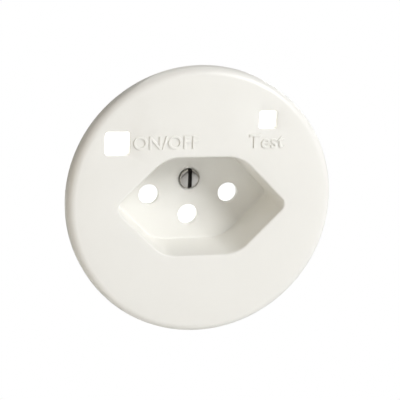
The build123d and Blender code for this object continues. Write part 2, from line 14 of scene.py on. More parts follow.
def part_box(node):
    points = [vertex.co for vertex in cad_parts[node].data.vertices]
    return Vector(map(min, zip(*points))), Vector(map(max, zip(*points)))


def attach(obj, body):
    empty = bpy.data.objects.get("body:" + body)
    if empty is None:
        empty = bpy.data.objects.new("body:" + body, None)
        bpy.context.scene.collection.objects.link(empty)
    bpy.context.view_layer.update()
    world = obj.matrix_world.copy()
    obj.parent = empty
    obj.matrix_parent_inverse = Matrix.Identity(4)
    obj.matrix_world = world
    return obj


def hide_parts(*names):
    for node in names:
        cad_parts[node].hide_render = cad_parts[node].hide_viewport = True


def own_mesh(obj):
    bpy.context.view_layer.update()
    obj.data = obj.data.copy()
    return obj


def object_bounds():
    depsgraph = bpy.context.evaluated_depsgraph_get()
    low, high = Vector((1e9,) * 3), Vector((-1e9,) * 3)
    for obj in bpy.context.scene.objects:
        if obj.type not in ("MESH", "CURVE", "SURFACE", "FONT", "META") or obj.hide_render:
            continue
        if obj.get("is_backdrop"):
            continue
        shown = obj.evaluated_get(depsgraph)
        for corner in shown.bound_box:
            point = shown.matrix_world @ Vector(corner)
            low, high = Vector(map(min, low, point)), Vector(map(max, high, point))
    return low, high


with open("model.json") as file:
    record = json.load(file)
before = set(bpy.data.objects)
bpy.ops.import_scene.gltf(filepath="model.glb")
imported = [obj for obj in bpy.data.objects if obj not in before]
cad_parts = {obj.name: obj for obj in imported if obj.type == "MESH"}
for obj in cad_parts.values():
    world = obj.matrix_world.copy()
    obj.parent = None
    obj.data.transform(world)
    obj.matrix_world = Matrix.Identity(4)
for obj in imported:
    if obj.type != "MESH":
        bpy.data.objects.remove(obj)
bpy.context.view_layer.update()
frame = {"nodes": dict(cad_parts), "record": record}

bl_info = {
    "name": "Safety socket outlet",
    "version": (1, 0, 0),
    "blender": (4, 5, 0),
    "location": "View3D > Sidebar > Outlet",
    "description": "Builds the looks of a round flush socket outlet with a residual-current switch",
    "category": "Object",
}

MM = 0.001
LENGTH = {"subtype": "DISTANCE", "unit": "LENGTH"}
GRAIN_GROUP = "Moulded grain"
BRUSH_GROUP = "Drawn metal"
# Name of the face mask that darkens the screw slots with painted shade.
SLOT_SHADE_NAME = "painted_slot_shade"
FINE_WIRE_SIDES = 10
FLOOR_DROP = 50 * MM

# Camera: sensor and lens in Blender's millimetres, shift as a share of the frame, and the
# place on the face that it looks at.
CAMERA_SENSOR = 36.0
CAMERA_LENS = 108.2
CAMERA_SHIFT = (0.08, -0.08)
CAMERA_AIM = (-8.2 * MM, 8.2 * MM)

# Winding: the arc of the core that it covers, and the radius of the core's hole.
WINDING_SWEEP = radians(150)
WINDING_INNER_R = 3.2 * MM

# The plug recess: half its height, its pointed corners before rounding, their radii, and
# how far its middle lies under the disc's.
RECESS_HALF_HEIGHT = 11.25 * MM
RECESS_TIP = 19.9 * MM
RECESS_TIP_R = 2.0 * MM
RECESS_CORNER_R = 8.0 * MM
RECESS_DROP = 0.9 * MM

# Openings in the cover, and the broken edge of each.
PIN_HOLE_R = 2.35 * MM
PIN_EDGE = 0.18 * MM
PIN_SLEEVE_R = 2.7 * MM
SCREW_SINK_R = 2.5 * MM
SCREW_SINK_DEPTH = 0.6 * MM
SCREW_SINK_EDGE = 0.12 * MM
SCREW_SHAFT_R = 1.6 * MM
WINDOW_GAP = 0.15 * MM
WINDOW_EDGE = 0.15 * MM
WINDOW_CORNERS = (("on_off_button", 0.8 * MM), ("test_button", 0.6 * MM))


# ---------------------------------------------------------------- values a user would change


class CoverSizes(bpy.types.PropertyGroup):
    shoulder: bpy.props.FloatProperty(name="Shoulder", description="Radius of the disc's outer shoulder",
                                      default=2.0 * MM, min=0.0002, **LENGTH)
    plate: bpy.props.FloatProperty(name="Plate", description="Thickness of the front plate",
                                   default=1.8 * MM, min=0.0005, **LENGTH)
    rim_wall: bpy.props.FloatProperty(name="Rim wall", description="Thickness of the disc's rim",
                                      default=1.6 * MM, min=0.0005, **LENGTH)
    floor: bpy.props.FloatProperty(name="Recess floor", description="Thickness of the recess floor",
                                   default=1.5 * MM, min=0.0005, **LENGTH)
    cup_wall: bpy.props.FloatProperty(name="Cup wall", description="Thickness of the recess wall",
                                      default=1.4 * MM, min=0.0005, **LENGTH)
    mouth: bpy.props.FloatProperty(name="Mouth rounding", description="Rounding of the recess mouth",
                                   default=0.5 * MM, min=0.00005, **LENGTH)
    draft: bpy.props.FloatProperty(name="Draft", description="Slope of the recess walls",
                                   default=radians(2.0), subtype="ANGLE", unit="ROTATION")
    colour: bpy.props.FloatVectorProperty(name="Cover colour", description="Warm white of the moulding",
                                          default=(0.87, 0.86, 0.815), size=3, subtype="COLOR")


class LetteringSizes(bpy.types.PropertyGroup):
    switch_height: bpy.props.FloatProperty(name="Switch letters",
                                           description="Cap height beside the switch window",
                                           default=2.85 * MM, min=0.0005, **LENGTH)
    test_height: bpy.props.FloatProperty(name="Test letters", description="Cap height below the test window",
                                         default=3.15 * MM, min=0.0005, **LENGTH)
    relief: bpy.props.FloatProperty(name="Relief", description="Height of the letters above the face",
                                    default=0.22 * MM, min=0.00005, **LENGTH)


class ScrewSizes(bpy.types.PropertyGroup):
    slot: bpy.props.FloatProperty(name="Slot width", description="Width of the driver slot",
                                  default=0.95 * MM, min=0.0002, **LENGTH)
    pitch: bpy.props.FloatProperty(name="Thread pitch", description="Distance between thread crests",
                                   default=0.5 * MM, min=0.0002, **LENGTH)
    turn: bpy.props.FloatProperty(name="Slot turn", description="Largest random turn of the fixing screws",
                                  default=radians(160), subtype="ANGLE", unit="ROTATION")
    colour: bpy.props.FloatVectorProperty(name="Screw colour", description="Plated steel",
                                          default=(0.50, 0.49, 0.47), size=3, subtype="COLOR")


class SpringSizes(bpy.types.PropertyGroup):
    sides: bpy.props.IntProperty(name="Wire sides", description="Facets around the spring wire",
                                 default=10, min=6)
    steps: bpy.props.IntProperty(name="Steps", description="Steps in one turn", default=28, min=8)


class WindingSizes(bpy.types.PropertyGroup):
    turns: bpy.props.IntProperty(name="Turns", description="Visible turns on the core", default=34, min=4)
    wire: bpy.props.FloatProperty(name="Wire", description="Radius of the lacquered wire",
                                  default=0.2 * MM, min=0.00005, **LENGTH)


class StageSizes(bpy.types.PropertyGroup):
    azimuth: bpy.props.FloatProperty(name="Azimuth", description="Camera's angle to the left of straight on",
                                     default=radians(13.55), subtype="ANGLE", unit="ROTATION")
    elevation: bpy.props.FloatProperty(name="Elevation", description="Camera's angle above straight on",
                                       default=radians(12.44), subtype="ANGLE", unit="ROTATION")
    roll: bpy.props.FloatProperty(name="Roll", description="Camera's turn about its line of sight",
                                  default=radians(1.73), subtype="ANGLE", unit="ROTATION")
    distance: bpy.props.FloatProperty(name="Distance", description="From the face to the camera",
                                      default=0.265, min=0.05, **LENGTH)
    key: bpy.props.FloatProperty(name="Key power", description="Power of the key light from the upper right",
                                 default=2.7, min=0.0, subtype="POWER", unit="POWER")
    fill: bpy.props.FloatProperty(name="Fill", description="Strength of the surrounding light",
                                  default=0.20, min=0.0)


# ---------------------------------------------------------------- mesh helpers


def span(node):
    """Lowest and highest corners and the centre of a CAD node."""
    low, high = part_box(node)
    return low, high, (low + high) / 2


def circle(radius, sides, centre=(0.0, 0.0)):
    """Points of a circle, one after another."""
    return [(centre[0] + radius * cos(2 * pi * k / sides), centre[1] + radius * sin(2 * pi * k / sides))
            for k in range(sides)]


def rounded_polygon(corners, radii, steps):
    """Closed outline with each corner turned into an arc of the given radius."""
    outline = []
    count = len(corners)
    for k, radius in enumerate(radii):
        here = Vector(corners[k])
        back = (Vector(corners[k - 1]) - here).normalized()
        ahead = (Vector(corners[(k + 1) % count]) - here).normalized()
        half = back.angle(ahead) / 2
        middle = here + (back + ahead).normalized() * radius / sin(half)
        first = here + back * radius / tan(half) - middle
        last = here + ahead * radius / tan(half) - middle
        sweep = first.angle_signed(last)
        for step in range(steps + 1):
            turned = first.copy()
            turned.rotate(Matrix.Rotation(-sweep * step / steps, 2))
            outline.append(tuple(middle + turned))
    return outline


def rectangle(centre, size, radius, steps=6):
    """Outline of a rectangle with round corners."""
    x, z, w, h = centre[0], centre[1], size[0] / 2, size[1] / 2
    corners = [(x - w, z - h), (x + w, z - h), (x + w, z + h), (x - w, z + h)]
    return rounded_polygon(corners, [radius] * 4, steps)


def ring(mesh, outline, y):
    """Loop of vertices along an outline at one depth."""
    return [mesh.verts.new((x, y, z)) for x, z in outline]


def wall(mesh, rings):
    """Quads between successive rings of equal length."""
    for low, high in zip(rings, rings[1:]):
        for k in range(len(low)):
            mesh.faces.new((low[k - 1], low[k], high[k], high[k - 1]))


def lid(mesh, rings):
    """Flat face bounded by an outer ring, with the other rings as holes."""
    edges = []
    for loop in rings:
        for k in range(len(loop)):
            edge = mesh.edges.get((loop[k - 1], loop[k]))
            edges.append(edge or mesh.edges.new((loop[k - 1], loop[k])))
    bmesh.ops.triangle_fill(mesh, use_beauty=True, use_dissolve=False, edges=edges)


def finished(mesh, name, material, sharp=32.0):
    """Turn a bmesh into a shaded object at the origin."""
    bmesh.ops.recalc_face_normals(mesh, faces=mesh.faces)
    data = bpy.data.meshes.new(name)
    mesh.to_mesh(data)
    mesh.free()
    return placed(data, name, material, sharp)


def placed(data, name, material, sharp=32.0):
    data.shade_smooth()
    data.set_sharp_from_angle(angle=radians(sharp))
    if material is not None:
        data.materials.clear()
        data.materials.append(material)
    obj = bpy.data.objects.new(name, data)
    bpy.context.scene.collection.objects.link(obj)
    return obj


def baked(obj, name, matrix=None):
    """Plain mesh object of obj's evaluated shape; obj and its modifiers are removed."""
    bpy.context.view_layer.update()
    evaluated = obj.evaluated_get(bpy.context.evaluated_depsgraph_get())
    data = bpy.data.meshes.new_from_object(evaluated)
    data.name = name
    if matrix is not None:
        data.transform(matrix)
    bpy.data.objects.remove(obj)
    result = bpy.data.objects.new(name, data)
    bpy.context.scene.collection.objects.link(result)
    return result


def along_y(x, y, z):
    """Turns a mesh made along Z so that its axis runs along +Y from (x, y, z)."""
    return Matrix.Translation((x, y, z)) @ Matrix.Rotation(-pi / 2, 4, "X")


# ---------------------------------------------------------------- shader groups and materials


def group_tree(name, inputs, outputs):
    """Shader node group with its input and output nodes."""
    tree = bpy.data.node_groups.new(name, "ShaderNodeTree")
    for label, value in inputs:
        socket = tree.interface.new_socket(label, in_out="INPUT", socket_type="NodeSocketFloat")
        socket.default_value = value
    for label in outputs:
        tree.interface.new_socket(label, in_out="OUTPUT", socket_type="NodeSocketFloat")
    return tree, tree.nodes.new("NodeGroupInput"), tree.nodes.new("NodeGroupOutput")


def grain_group():
    """Fine spark-eroded texture and slow unevenness of a moulded part."""
    if GRAIN_GROUP in bpy.data.node_groups:
        return bpy.data.node_groups[GRAIN_GROUP]
    tree, given, made = group_tree(GRAIN_GROUP, [("Grain scale", 9000.0), ("Cloud scale", 60.0)],
                                   ["Height", "Cloud", "Speck"])
    place = tree.nodes.new("ShaderNodeTexCoord")
    fine = tree.nodes.new("ShaderNodeTexNoise")
    fine.inputs["Detail"].default_value = 3.0
    cloud = tree.nodes.new("ShaderNodeTexNoise")
    cloud.inputs["Detail"].default_value = 4.0
    speck = tree.nodes.new("ShaderNodeMapRange")
    speck.inputs["From Min"].default_value = 0.62
    speck.inputs["From Max"].default_value = 0.74
    link = tree.links.new
    link(place.outputs["Object"], fine.inputs["Vector"])
    link(place.outputs["Object"], cloud.inputs["Vector"])
    link(given.outputs["Grain scale"], fine.inputs["Scale"])
    link(given.outputs["Cloud scale"], cloud.inputs["Scale"])
    link(fine.outputs["Fac"], speck.inputs["Value"])
    link(fine.outputs["Fac"], made.inputs["Height"])
    link(cloud.outputs["Fac"], made.inputs["Cloud"])
    link(speck.outputs["Result"], made.inputs["Speck"])
    return tree


def brush_group():
    """Lines left by drawing or brushing, with blotches of dull oxide."""
    if BRUSH_GROUP in bpy.data.node_groups:
        return bpy.data.node_groups[BRUSH_GROUP]
    tree, given, made = group_tree(BRUSH_GROUP,
                                   [("Line scale", 1500.0), ("Stretch", 0.06), ("Blotch scale", 180.0)],
                                   ["Height", "Line", "Blotch"])
    place = tree.nodes.new("ShaderNodeTexCoord")
    stretch = tree.nodes.new("ShaderNodeCombineXYZ")
    stretch.inputs["X"].default_value = 1.0
    stretch.inputs["Y"].default_value = 1.0
    turned = tree.nodes.new("ShaderNodeVectorMath")
    turned.operation = "MULTIPLY"
    lines = tree.nodes.new("ShaderNodeTexNoise")
    lines.inputs["Detail"].default_value = 5.0
    blotch = tree.nodes.new("ShaderNodeTexNoise")
    blotch.inputs["Detail"].default_value = 6.0
    dull = tree.nodes.new("ShaderNodeMapRange")
    dull.inputs["From Min"].default_value = 0.42
    dull.inputs["From Max"].default_value = 0.72
    link = tree.links.new
    link(given.outputs["Stretch"], stretch.inputs["Z"])
    link(place.outputs["Object"], turned.inputs[0])
    link(stretch.outputs["Vector"], turned.inputs[1])
    link(turned.outputs["Vector"], lines.inputs["Vector"])
    link(place.outputs["Object"], blotch.inputs["Vector"])
    link(given.outputs["Line scale"], lines.inputs["Scale"])
    link(given.outputs["Blotch scale"], blotch.inputs["Scale"])
    link(blotch.outputs["Fac"], dull.inputs["Value"])
    link(lines.outputs["Fac"], made.inputs["Height"])
    link(lines.outputs["Fac"], made.inputs["Line"])
    link(dull.outputs["Result"], made.inputs["Blotch"])
    return tree


def base_material(name, group):
    """Material with a Principled shader and one placed group: (material, shader, placed group)."""
    material = bpy.data.materials.new(name)
    material.use_nodes = True
    nodes = material.node_tree.nodes
    placed_group = nodes.new("ShaderNodeGroup")
    placed_group.node_tree = group
    return material, nodes["Principled BSDF"], placed_group


def shade_between(material, shader, mask, colour, other):
    """Feed the base colour from two colours mixed by a mask."""
    mix = material.node_tree.nodes.new("ShaderNodeMix")
    mix.data_type = "RGBA"
    mix.inputs["A"].default_value = (*colour, 1.0)
    mix.inputs["B"].default_value = (*other, 1.0)
    material.node_tree.links.new(mask, mix.inputs["Factor"])
    material.node_tree.links.new(mix.outputs["Result"], shader.inputs["Base Color"])


def rough_between(material, shader, mask, low, high):
    """Feed the roughness from a mask."""
    spread = material.node_tree.nodes.new("ShaderNodeMapRange")
    spread.inputs["To Min"].default_value = low
    spread.inputs["To Max"].default_value = high
    material.node_tree.links.new(mask, spread.inputs["Value"])
    material.node_tree.links.new(spread.outputs["Result"], shader.inputs["Roughness"])


def raise_by(material, shader, height, strength, distance):
    """Feed the normal from a height."""
    bump = material.node_tree.nodes.new("ShaderNodeBump")
    bump.inputs["Strength"].default_value = strength
    bump.inputs["Distance"].default_value = distance
    material.node_tree.links.new(height, bump.inputs["Height"])
    material.node_tree.links.new(bump.outputs["Normal"], shader.inputs["Normal"])


def moulded(name, colour, roughness=0.42, shade=0.9, grain=9000.0, depth=0.25, painted_glow=0.0):
    """Moulded plastic: fine grain, slow unevenness in colour and gloss, and an optional even white glow that
    is painted light.
    """
    if name in bpy.data.materials:
        return bpy.data.materials[name]
    material, shader, group = base_material(name, grain_group())
    group.inputs["Grain scale"].default_value = grain
    darker = tuple(c * shade for c in colour)
    shade_between(material, shader, group.outputs["Cloud"], colour, darker)
    rough_between(material, shader, group.outputs["Cloud"], roughness * 0.85, roughness * 1.15)
    raise_by(material, shader, group.outputs["Height"], depth, 0.00002)
    shader.inputs["Specular IOR Level"].default_value = 0.45
    # A glow above zero makes the part shine though it is no lamp: painted light.
    shader.inputs["Emission Color"].default_value = (1.0, 1.0, 1.0, 1.0)
    shader.inputs["Emission Strength"].default_value = painted_glow
    return material


def metal(name, colour, roughness=0.3, tarnish=(0.30, 0.28, 0.25), lines=1500.0):
    """Plated or drawn metal with brush lines and dull spots."""
    if name in bpy.data.materials:
        return bpy.data.materials[name]
    material, shader, group = base_material(name, brush_group())
    group.inputs["Line scale"].default_value = lines
    dulled = tuple(0.72 * c + 0.28 * t for c, t in zip(colour, tarnish))
    shade_between(material, shader, group.outputs["Blotch"], colour, dulled)
    rough_between(material, shader, group.outputs["Line"], roughness * 0.7, roughness * 1.35)
    raise_by(material, shader, group.outputs["Height"], 0.35, 0.00002)
    shader.inputs["Metallic"].default_value = 1.0
    return material


def lacquered(name, colour):
    """Copper wire or a board under a clear lacquer."""
    material = moulded(name, colour, roughness=0.35, shade=0.75, grain=5000.0, depth=0.2)
    shader = material.node_tree.nodes["Principled BSDF"]
    shader.inputs["Coat Weight"].default_value = 0.7
    shader.inputs["Coat Roughness"].default_value = 0.12
    return material


def copper_material():
    """Enamelled copper wire."""
    return lacquered("lacquered_copper", (0.62, 0.23, 0.08))


def circuit_board_material():
    """Solder mask with darker copper tracks showing through it."""
    material, shader, group = base_material("board_green", grain_group())
    nodes, link = material.node_tree.nodes, material.node_tree.links.new
    place = nodes.new("ShaderNodeTexCoord")
    tracks = nodes.new("ShaderNodeTexBrick")
    tracks.inputs["Scale"].default_value = 260.0
    tracks.inputs["Mortar Size"].default_value = 0.06
    tracks.inputs["Color1"].default_value = (0.012, 0.115, 0.045, 1.0)
    tracks.inputs["Color2"].default_value = (0.016, 0.150, 0.060, 1.0)
    tracks.inputs["Mortar"].default_value = (0.045, 0.260, 0.100, 1.0)
    flat = nodes.new("ShaderNodeMapping")
    flat.inputs["Rotation"].default_value = (pi / 2, 0.0, 0.0)
    link(place.outputs["Object"], flat.inputs["Vector"])
    link(flat.outputs["Vector"], tracks.inputs["Vector"])
    link(tracks.outputs["Color"], shader.inputs["Base Color"])
    rough_between(material, shader, group.outputs["Cloud"], 0.25, 0.42)
    raise_by(material, shader, tracks.outputs["Fac"], 0.5, 0.00003)
    return material


def cover_material():
    """Warm white moulding of the cover."""
    cover = bpy.context.scene.outlet_cover
    return moulded("warm_white_thermoplastic", tuple(cover.colour), roughness=0.38, shade=0.985, depth=0.12)


def screw_material():
    """Plated steel, darkened with painted shade in the driver slots where the mesh carries the slot mask."""
    name = "plated_screw_steel"
    if name in bpy.data.materials:
        return bpy.data.materials[name]
    material = metal(name, tuple(bpy.context.scene.outlet_screws.colour), roughness=0.2)
    nodes, link = material.node_tree.nodes, material.node_tree.links.new
    shader = nodes["Principled BSDF"]
    # The slot mask mixes a near-black into the base colour: painted shade in the driver slots.
    painted_slot_shade = nodes.new("ShaderNodeAttribute")
    painted_slot_shade.attribute_name = SLOT_SHADE_NAME
    slot_shade_mix = nodes.new("ShaderNodeMix")
    slot_shade_mix.data_type = "RGBA"
    slot_shade_mix.inputs["B"].default_value = (0.035, 0.032, 0.028, 1.0)
    link(painted_slot_shade.outputs["Fac"], slot_shade_mix.inputs["Factor"])
    link(shader.inputs["Base Color"].links[0].from_socket, slot_shade_mix.inputs["A"])
    link(slot_shade_mix.outputs["Result"], shader.inputs["Base Color"])
    return material


# ---------------------------------------------------------------- front cover


def plug_outline(grow):
    """Six-sided plug outline around the recess axis, grown outwards."""
    half_h = RECESS_HALF_HEIGHT + grow
    tip = RECESS_TIP + grow * sqrt(2)
    flat = tip - half_h
    corners = [(tip, 0), (flat, half_h), (-flat, half_h), (-tip, 0), (-flat, -half_h), (flat, -half_h)]
    tip_r, corner_r = RECESS_TIP_R + grow, RECESS_CORNER_R + grow
    radii = [tip_r, corner_r, corner_r, tip_r, corner_r, corner_r]
    return [(x, z - RECESS_DROP) for x, z in rounded_polygon(corners, radii, 14)]


def quarter(steps=6):
    """Angles from flat to upright for a rounded edge."""
    return [pi / 2 * k / steps for k in range(steps + 1)]


def disc_side(mesh, sizes, face_y, radius, rear_y):
    """Shoulder, rim and hollow of the disc: (ring on the face, ring on the plate's rear)."""
    sides = 256
    rings = [ring(mesh, circle(radius - sizes.shoulder * (1 - sin(a)), sides),
                  face_y + sizes.shoulder * (1 - cos(a)))
             for a in quarter(10)]
    inner = radius - sizes.rim_wall
    edge = 0.15 * MM
    rings.append(ring(mesh, circle(radius, sides), rear_y - edge))
    rings.append(ring(mesh, circle(radius - edge, sides), rear_y))
    rings.append(ring(mesh, circle(inner, sides), rear_y))
    rings.append(ring(mesh, circle(inner, sides), face_y + sizes.plate))
    wall(mesh, rings)
    return rings[0], rings[-1]


def recess_walls(mesh, sizes, face_y, floor_y):
    """Rounded mouth, drafted wall and filleted foot: (ring on the face, ring on the floor)."""
    slope = tan(sizes.draft)
    rings = []
    for a in quarter(6):
        depth = sizes.mouth * (1 - cos(pi / 2 - a))
        rings.append(ring(mesh, plug_outline(sizes.mouth * (1 - sin(a)) - depth * slope),
                          face_y + sizes.mouth - sizes.mouth * cos(a)))
    foot = 0.35 * MM
    shrink = (floor_y - face_y) * slope
    for a in quarter(4):
        rings.append(ring(mesh, plug_outline(-shrink - foot * (1 - cos(a))), floor_y - foot * (1 - sin(a))))
    wall(mesh, rings)
    return rings[0], rings[-1]


def through_hole(mesh, outline_at, front_y, rear_y, edge):
    """Hole with a softly broken front edge: (front ring, rear ring)."""
    rings = [ring(mesh, outline_at(edge * (1 - sin(a))), front_y + edge * (1 - cos(a))) for a in quarter(3)]
    rings.append(ring(mesh, outline_at(0.0), rear_y))
    wall(mesh, rings)
    return rings[0], rings[-1]


def window_outline(node, gap, radius):
    """Function that gives a button's window outline, grown by an amount."""
    low, high, middle = cap_place(node)
    size = (high[0] - low[0] + 2 * gap, high[1] - low[1] + 2 * gap)

    def outline(grow):
        return rectangle(middle, (size[0] + 2 * grow, size[1] + 2 * grow), radius + grow)
    return outline


def cap_place(node):
    """Outline box of a button's cap, which is the part of it nearest the front."""
    low_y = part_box(node)[0].y
    points = [v.co for v in frame["nodes"][node].data.vertices if v.co.y < low_y + 0.4 * MM]
    xs, zs = [p.x for p in points], [p.z for p in points]
    low, high = (min(xs), min(zs)), (max(xs), max(zs))
    return low, high, ((low[0] + high[0]) / 2, (low[1] + high[1]) / 2)


def pin_centres():
    """Centres of the three pin holes, from the contacts behind them."""
    places = []
    for node in ("live_contact", "neutral_contact", "earth_contact"):
        low, high, middle = span(node)
        radius = PIN_SLEEVE_R
        x = {"live_contact": low.x + radius, "neutral_contact": high.x - radius}.get(node, middle.x)
        z = high.z - radius if node == "earth_contact" else low.z + radius
        places.append((x, z))
    return places


def build_cover(sizes):
    """Disc, recess and openings as one closed moulding."""
    low, high = span("front_cover")[:2]
    face_y, radius = low.y, high.x
    rear_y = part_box("support_plate")[0].y
    floor_y = high.y - sizes.floor
    mesh = bmesh.new()
    face_ring, hollow_ring = disc_side(mesh, sizes, face_y, radius, rear_y)
    mouth_ring, floor_ring = recess_walls(mesh, sizes, face_y, floor_y)
    plate_y = face_y + sizes.plate
    windows = [through_hole(mesh, window_outline(node, WINDOW_GAP, corner), face_y, plate_y, WINDOW_EDGE)
               for node, corner in WINDOW_CORNERS]
    pins = [through_hole(mesh, lambda grow, c=c: circle(PIN_HOLE_R + grow, 48, c), floor_y, high.y, PIN_EDGE)
            for c in pin_centres()]
    screw = span("cover_screw")[2]
    sink_y = floor_y + SCREW_SINK_DEPTH
    sink = through_hole(mesh, lambda grow: circle(SCREW_SINK_R + grow, 48, (0, screw.z)),
                        floor_y, sink_y, SCREW_SINK_EDGE)
    shaft = [ring(mesh, circle(SCREW_SHAFT_R, 48, (0, screw.z)), y) for y in (sink_y, high.y)]
    wall(mesh, [sink[1], *shaft])
    cup = [ring(mesh, plug_outline(sizes.cup_wall), y) for y in (plate_y, high.y)]
    wall(mesh, cup)
    lid(mesh, [face_ring, mouth_ring, *(w[0] for w in windows)])
    lid(mesh, [floor_ring, sink[0], *(p[0] for p in pins)])
    lid(mesh, [hollow_ring, cup[0], *(w[1] for w in windows)])
    lid(mesh, [cup[1], shaft[1], *(p[1] for p in pins)])
    cover = finished(mesh, "cover_moulding", cover_material(), sharp=40.0)
    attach(cover, "housing")
    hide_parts("front_cover")


def build_words(name, words, centre, height, relief):
    """Raised letters on the face, in the cover's own material."""
    face_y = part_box("front_cover")[0].y
    curve = bpy.data.curves.new(name, "FONT")
    curve.body = words
    curve.align_x = "CENTER"
    curve.align_y = "CENTER"
    curve.size = height / 0.7
    curve.extrude = relief
    curve.bevel_depth = relief * 0.25
    curve.bevel_resolution = 1
    curve.resolution_u = 8
    curve.space_character = 1.02
    holder = bpy.data.objects.new(name, curve)
    bpy.context.scene.collection.objects.link(holder)
    turn = Matrix.Rotation(pi / 2, 4, "X")
    letters = baked(holder, name)
    box = [v.co.copy() for v in letters.data.vertices]
    mid_x = (min(p.x for p in box) + max(p.x for p in box)) / 2
    mid_y = (min(p.y for p in box) + max(p.y for p in box)) / 2
    letters.data.transform(Matrix.Translation((centre[0], face_y, centre[1])) @ turn
                           @ Matrix.Translation((-mid_x, -mid_y, 0)))
    letters.data.materials.clear()
    letters.data.materials.append(cover_material())
    letters.data.shade_smooth()
    letters.data.set_sharp_from_angle(angle=radians(35))
    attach(letters, "housing")


# ---------------------------------------------------------------- geometry node trees


def geometry_tree(name, inputs):
    """Geometry Nodes tree with a geometry input and output and further named inputs."""
    tree = bpy.data.node_groups.new(name, "GeometryNodeTree")
    tree.interface.new_socket("Geometry", in_out="INPUT", socket_type="NodeSocketGeometry")
    for label, kind in inputs:
        tree.interface.new_socket(label, in_out="INPUT", socket_type=kind)
    tree.interface.new_socket("Geometry", in_out="OUTPUT", socket_type="NodeSocketGeometry")
    return tree, tree.nodes.new("NodeGroupInput"), tree.nodes.new("NodeGroupOutput")


def end_tree(tree, given, made, geometry):
    """Realize the instances, set the material and hand the result out."""
    real = tree.nodes.new("GeometryNodeRealizeInstances")
    paint = tree.nodes.new("GeometryNodeSetMaterial")
    tree.links.new(geometry, real.inputs["Geometry"])
    tree.links.new(real.outputs["Geometry"], paint.inputs["Geometry"])
    tree.links.new(given.outputs["Material"], paint.inputs["Material"])
    tree.links.new(paint.outputs["Geometry"], made.inputs["Geometry"])


def run_tree(tree, name, values, points=()):
    """Object that carries the tree's modifier with its inputs set by socket identifier."""
    data = bpy.data.meshes.new(name)
    data.from_pydata([tuple(p) for p in points], [], [])
    obj = bpy.data.objects.new(name + "_maker", data)
    bpy.context.scene.collection.objects.link(obj)
    modifier = obj.modifiers.new("Maker", "NODES")
    modifier.node_group = tree
    named = {item.name: item.identifier for item in tree.interface.items_tree if item.in_out == "INPUT"}
    for label, value in values.items():
        modifier[named[label]] = value
    return obj


def scatter_tree():
    """Sets one part on every point, each turned about its axis by a seeded random angle."""
    name = "Fasteners on points"
    if name in bpy.data.node_groups:
        return bpy.data.node_groups[name]
    tree, given, made = geometry_tree(name, [("Part", "NodeSocketObject"), ("Axis", "NodeSocketVector"),
                                             ("Turn", "NodeSocketFloat"), ("Material", "NodeSocketMaterial")])
    part = tree.nodes.new("GeometryNodeObjectInfo")
    chance = tree.nodes.new("FunctionNodeRandomValue")
    chance.data_type = "FLOAT"
    chance.inputs["Seed"].default_value = 11
    spin = tree.nodes.new("ShaderNodeVectorMath")
    spin.operation = "SCALE"
    place = tree.nodes.new("GeometryNodeInstanceOnPoints")
    link = tree.links.new
    link(given.outputs["Part"], part.inputs["Object"])
    link(given.outputs["Turn"], chance.inputs[3])
    link(given.outputs["Axis"], spin.inputs[0])
    link(chance.outputs[1], spin.inputs["Scale"])
    link(given.outputs["Geometry"], place.inputs["Points"])
    link(part.outputs["Geometry"], place.inputs["Instance"])
    link(spin.outputs["Vector"], place.inputs["Rotation"])
    end_tree(tree, given, made, place.outputs["Instances"])
    return tree


def spring_tree():
    """Wire coil along Z at one even pitch; its end turns are not closed or flattened."""
    name = "Coil spring"
    if name in bpy.data.node_groups:
        return bpy.data.node_groups[name]
    tree, given, made = geometry_tree(name, [("Coil radius", "NodeSocketFloat"),
                                             ("Wire radius", "NodeSocketFloat"),
                                             ("Length", "NodeSocketFloat"), ("Turns", "NodeSocketFloat"),
                                             ("Steps", "NodeSocketInt"), ("Sides", "NodeSocketInt"),
                                             ("Material", "NodeSocketMaterial")])
    path = tree.nodes.new("GeometryNodeCurveSpiral")
    section = tree.nodes.new("GeometryNodeCurvePrimitiveCircle")
    sweep = tree.nodes.new("GeometryNodeCurveToMesh")
    sweep.inputs["Fill Caps"].default_value = True
    link = tree.links.new
    link(given.outputs["Steps"], path.inputs["Resolution"])
    link(given.outputs["Turns"], path.inputs["Rotations"])
    link(given.outputs["Coil radius"], path.inputs["Start Radius"])
    link(given.outputs["Coil radius"], path.inputs["End Radius"])
    link(given.outputs["Length"], path.inputs["Height"])
    link(given.outputs["Sides"], section.inputs["Resolution"])
    link(given.outputs["Wire radius"], section.inputs["Radius"])
    link(path.outputs["Curve"], sweep.inputs["Curve"])
    link(section.outputs["Curve"], sweep.inputs["Profile Curve"])
    end_tree(tree, given, made, sweep.outputs["Mesh"])
    return tree


def winding_tree():
    """Turns of wire set side by side around the Y axis."""
    name = "Toroid winding"
    tree, given, made = geometry_tree(name, [("Turn", "NodeSocketObject"), ("Count", "NodeSocketInt"),
                                             ("First angle", "NodeSocketFloat"),
                                             ("Step angle", "NodeSocketFloat"),
                                             ("Material", "NodeSocketMaterial")])
    points = tree.nodes.new("GeometryNodePoints")
    turn = tree.nodes.new("GeometryNodeObjectInfo")
    index = tree.nodes.new("GeometryNodeInputIndex")
    angle = tree.nodes.new("ShaderNodeMath")
    angle.operation = "MULTIPLY_ADD"
    rotation = tree.nodes.new("ShaderNodeCombineXYZ")
    place = tree.nodes.new("GeometryNodeInstanceOnPoints")
    link = tree.links.new
    link(given.outputs["Count"], points.inputs["Count"])
    link(given.outputs["Turn"], turn.inputs["Object"])
    link(index.outputs["Index"], angle.inputs[0])
    link(given.outputs["Step angle"], angle.inputs[1])
    link(given.outputs["First angle"], angle.inputs[2])
    link(angle.outputs["Value"], rotation.inputs["Y"])
    link(points.outputs["Points"], place.inputs["Points"])
    link(turn.outputs["Geometry"], place.inputs["Instance"])
    link(rotation.outputs["Vector"], place.inputs["Rotation"])
    end_tree(tree, given, made, place.outputs["Instances"])
    return tree


# ---------------------------------------------------------------- screws, springs and winding


